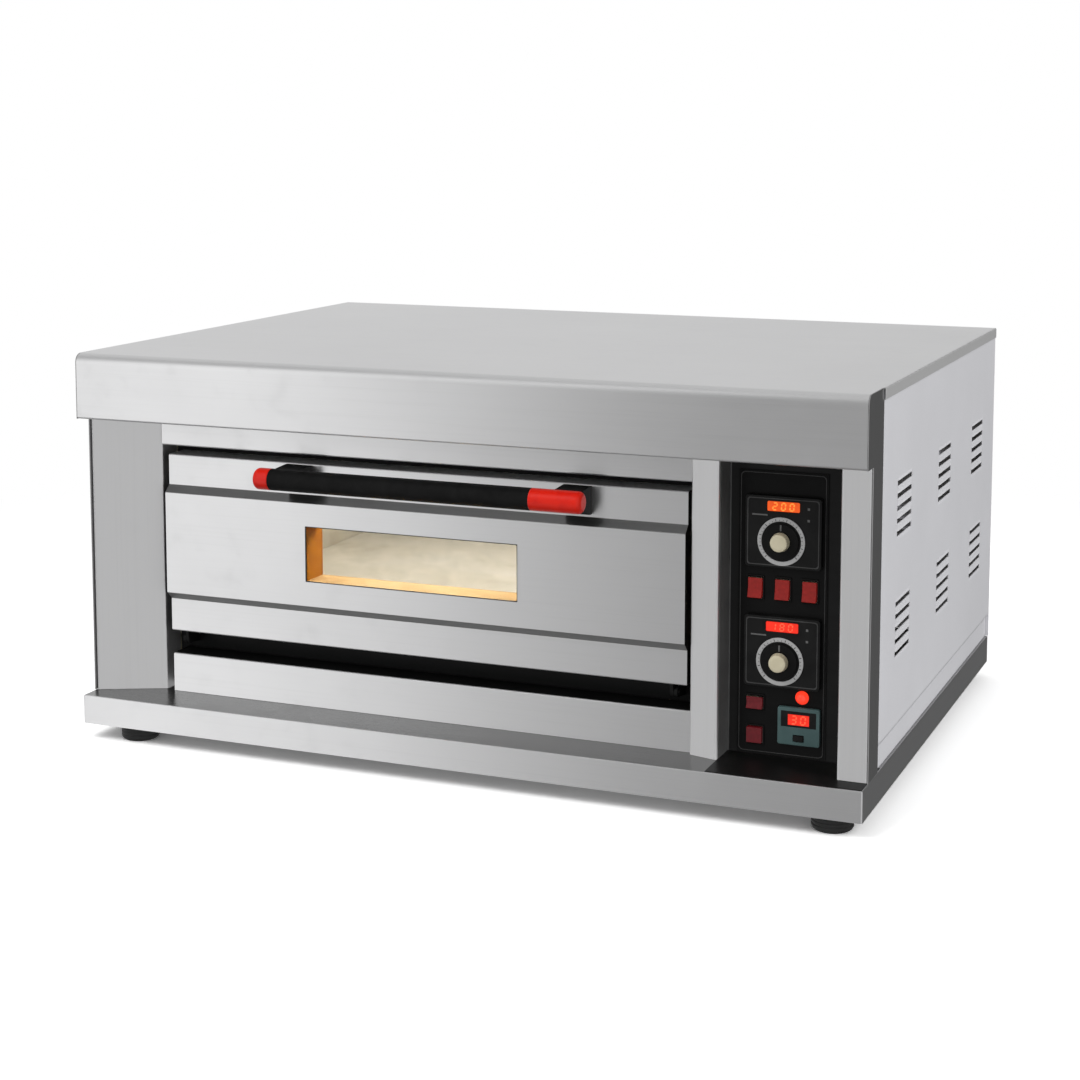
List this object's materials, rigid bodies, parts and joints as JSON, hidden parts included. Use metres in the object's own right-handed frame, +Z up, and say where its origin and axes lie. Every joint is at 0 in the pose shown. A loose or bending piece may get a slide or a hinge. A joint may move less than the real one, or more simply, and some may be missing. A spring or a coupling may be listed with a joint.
{
  "type": "deck oven",
  "caption": "Electric deck oven: one low baking chamber with a drop-down windowed door and bar handle, a hooded stainless front and a recessed control column.",
  "frame": {"origin": "on the floor, under the middle of the oven's bounding box", "axes": "+X to the right seen from the front, along the width; the door and controls face -Y; +Z up"},
  "size_m": [1.22, 0.91, 0.595],
  "materials": {
    "stainless": "fine brushed stainless sheet",
    "painted_panel": "light grey powder coat, slightly textured",
    "black_paint": "satin black enamel",
    "control_black": "semi-gloss black panel",
    "black_plastic": "black phenolic moulding",
    "red_plastic": "glossy red moulding",
    "red_lens": "translucent red key",
    "lamp_red": "lit red lamp lens",
    "display": "lit orange-red display window",
    "dial": "black dial with an ivory centre",
    "ivory_plastic": "ivory knob cap",
    "teal_plastic": "grey-green moulded housing",
    "grey_plastic": "grey moulded housing",
    "chamber_steel": "heat-tinted steel sheet",
    "deck_steel": "seasoned dark steel deck",
    "element": "oxidised tubular heater sheath",
    "mineral_wool": "loose mineral wool slab",
    "glass": "clear heat-proof glass",
    "lamp_glass": "ribbed lamp glass",
    "rubber": "black moulded rubber"
  },
  "bodies": {
    "root": {"top_cover": "stainless", "base_tray": "stainless", "left_end_plate": "stainless", "right_end_plate": "stainless", "left_side_panel": "painted_panel", "right_side_panel": "painted_panel", "rear_panel": "painted_panel", "cable_gland": "black_plastic", "left_pilaster": "stainless", "inner_right_pilaster": "stainless", "outer_right_pilaster": "stainless", "upper_trim": "stainless", "lower_front_panel": "stainless", "door_surround": "black_paint", "chamber_ceiling": "chamber_steel", "chamber_floor": "chamber_steel", "chamber_left_wall": "chamber_steel", "chamber_right_wall": "chamber_steel", "chamber_back_wall": "chamber_steel", "deck_plate": "deck_steel", "insulation": "mineral_wool", "upper_element_1": "element", "upper_element_2": "element", "lower_element_1": "element", "lower_element_2": "element", "upper_thermocouple": "stainless", "lower_thermocouple": "stainless", "chamber_lamp": "lamp_glass", "contactor": "grey_plastic", "left_hinge_bracket": "black_paint", "right_hinge_bracket": "black_paint", "control_recess": "black_paint", "control_plate": "control_black", "upper_controller": "control_black", "lower_controller": "control_black", "indicator_lamp": "lamp_red", "timer_unit": "teal_plastic", "front_left_foot": "rubber", "front_right_foot": "rubber", "rear_left_foot": "rubber", "rear_right_foot": "rubber"},
    "door": {"door_outer_skin": "stainless", "door_liner": "chamber_steel", "outer_glass": "glass", "inner_glass": "glass", "handle_bar": "black_plastic", "left_handle_bracket": "black_plastic", "right_handle_bracket": "black_plastic", "left_handle_cap": "red_plastic", "right_handle_cap": "red_plastic", "left_hinge_arm": "stainless", "right_hinge_arm": "stainless"},
    "upper_dial": {"upper_dial": "dial"},
    "lower_dial": {"lower_dial": "dial"},
    "power_rocker": {"power_rocker": "red_lens"},
    "upper_heat_rocker": {"upper_heat_rocker": "red_lens"},
    "lower_heat_rocker": {"lower_heat_rocker": "red_lens"},
    "lamp_switch": {"lamp_switch": "red_lens"},
    "start_button": {"start_button": "red_lens"},
    "timer_button": {"timer_button": "black_plastic"}
  },
  "joints": [
    {"name": "door_hinge", "type": "hinge", "parent": "root", "child": "door", "pos_m": [-0.0775, -0.367, 0.15], "axis": [1, 0, 0], "range_deg": [0, 90]},
    {"name": "upper_dial_turn", "type": "hinge", "parent": "root", "child": "upper_dial", "pos_m": [0.467, -0.362, 0.3745], "axis": [0, 1, 0], "range_deg": [0, 270]},
    {"name": "lower_dial_turn", "type": "hinge", "parent": "root", "child": "lower_dial", "pos_m": [0.467, -0.362, 0.2065], "axis": [0, 1, 0], "range_deg": [0, 270]},
    {"name": "power_rocker_tilt", "type": "hinge", "parent": "root", "child": "power_rocker", "pos_m": [0.429, -0.354, 0.3055], "axis": [1, 0, 0], "range_deg": [0, 16]},
    {"name": "upper_heat_rocker_tilt", "type": "hinge", "parent": "root", "child": "upper_heat_rocker", "pos_m": [0.4675, -0.354, 0.3055], "axis": [1, 0, 0], "range_deg": [0, 16]},
    {"name": "lower_heat_rocker_tilt", "type": "hinge", "parent": "root", "child": "lower_heat_rocker", "pos_m": [0.506, -0.354, 0.3055], "axis": [1, 0, 0], "range_deg": [0, 16]},
    {"name": "lamp_switch_tilt", "type": "hinge", "parent": "root", "child": "lamp_switch", "pos_m": [0.43, -0.354, 0.143], "axis": [1, 0, 0], "range_deg": [0, 16]},
    {"name": "start_button_press", "type": "slide", "parent": "root", "child": "start_button", "axis": [0, 1, 0], "range_m": [0, 0.003], "stiffness_N_per_m": 400, "springref_m": -0.0015},
    {"name": "timer_button_press", "type": "slide", "parent": "root", "child": "timer_button", "axis": [0, 1, 0], "range_m": [0, 0.002], "stiffness_N_per_m": 300, "springref_m": -0.0015}
  ]
}
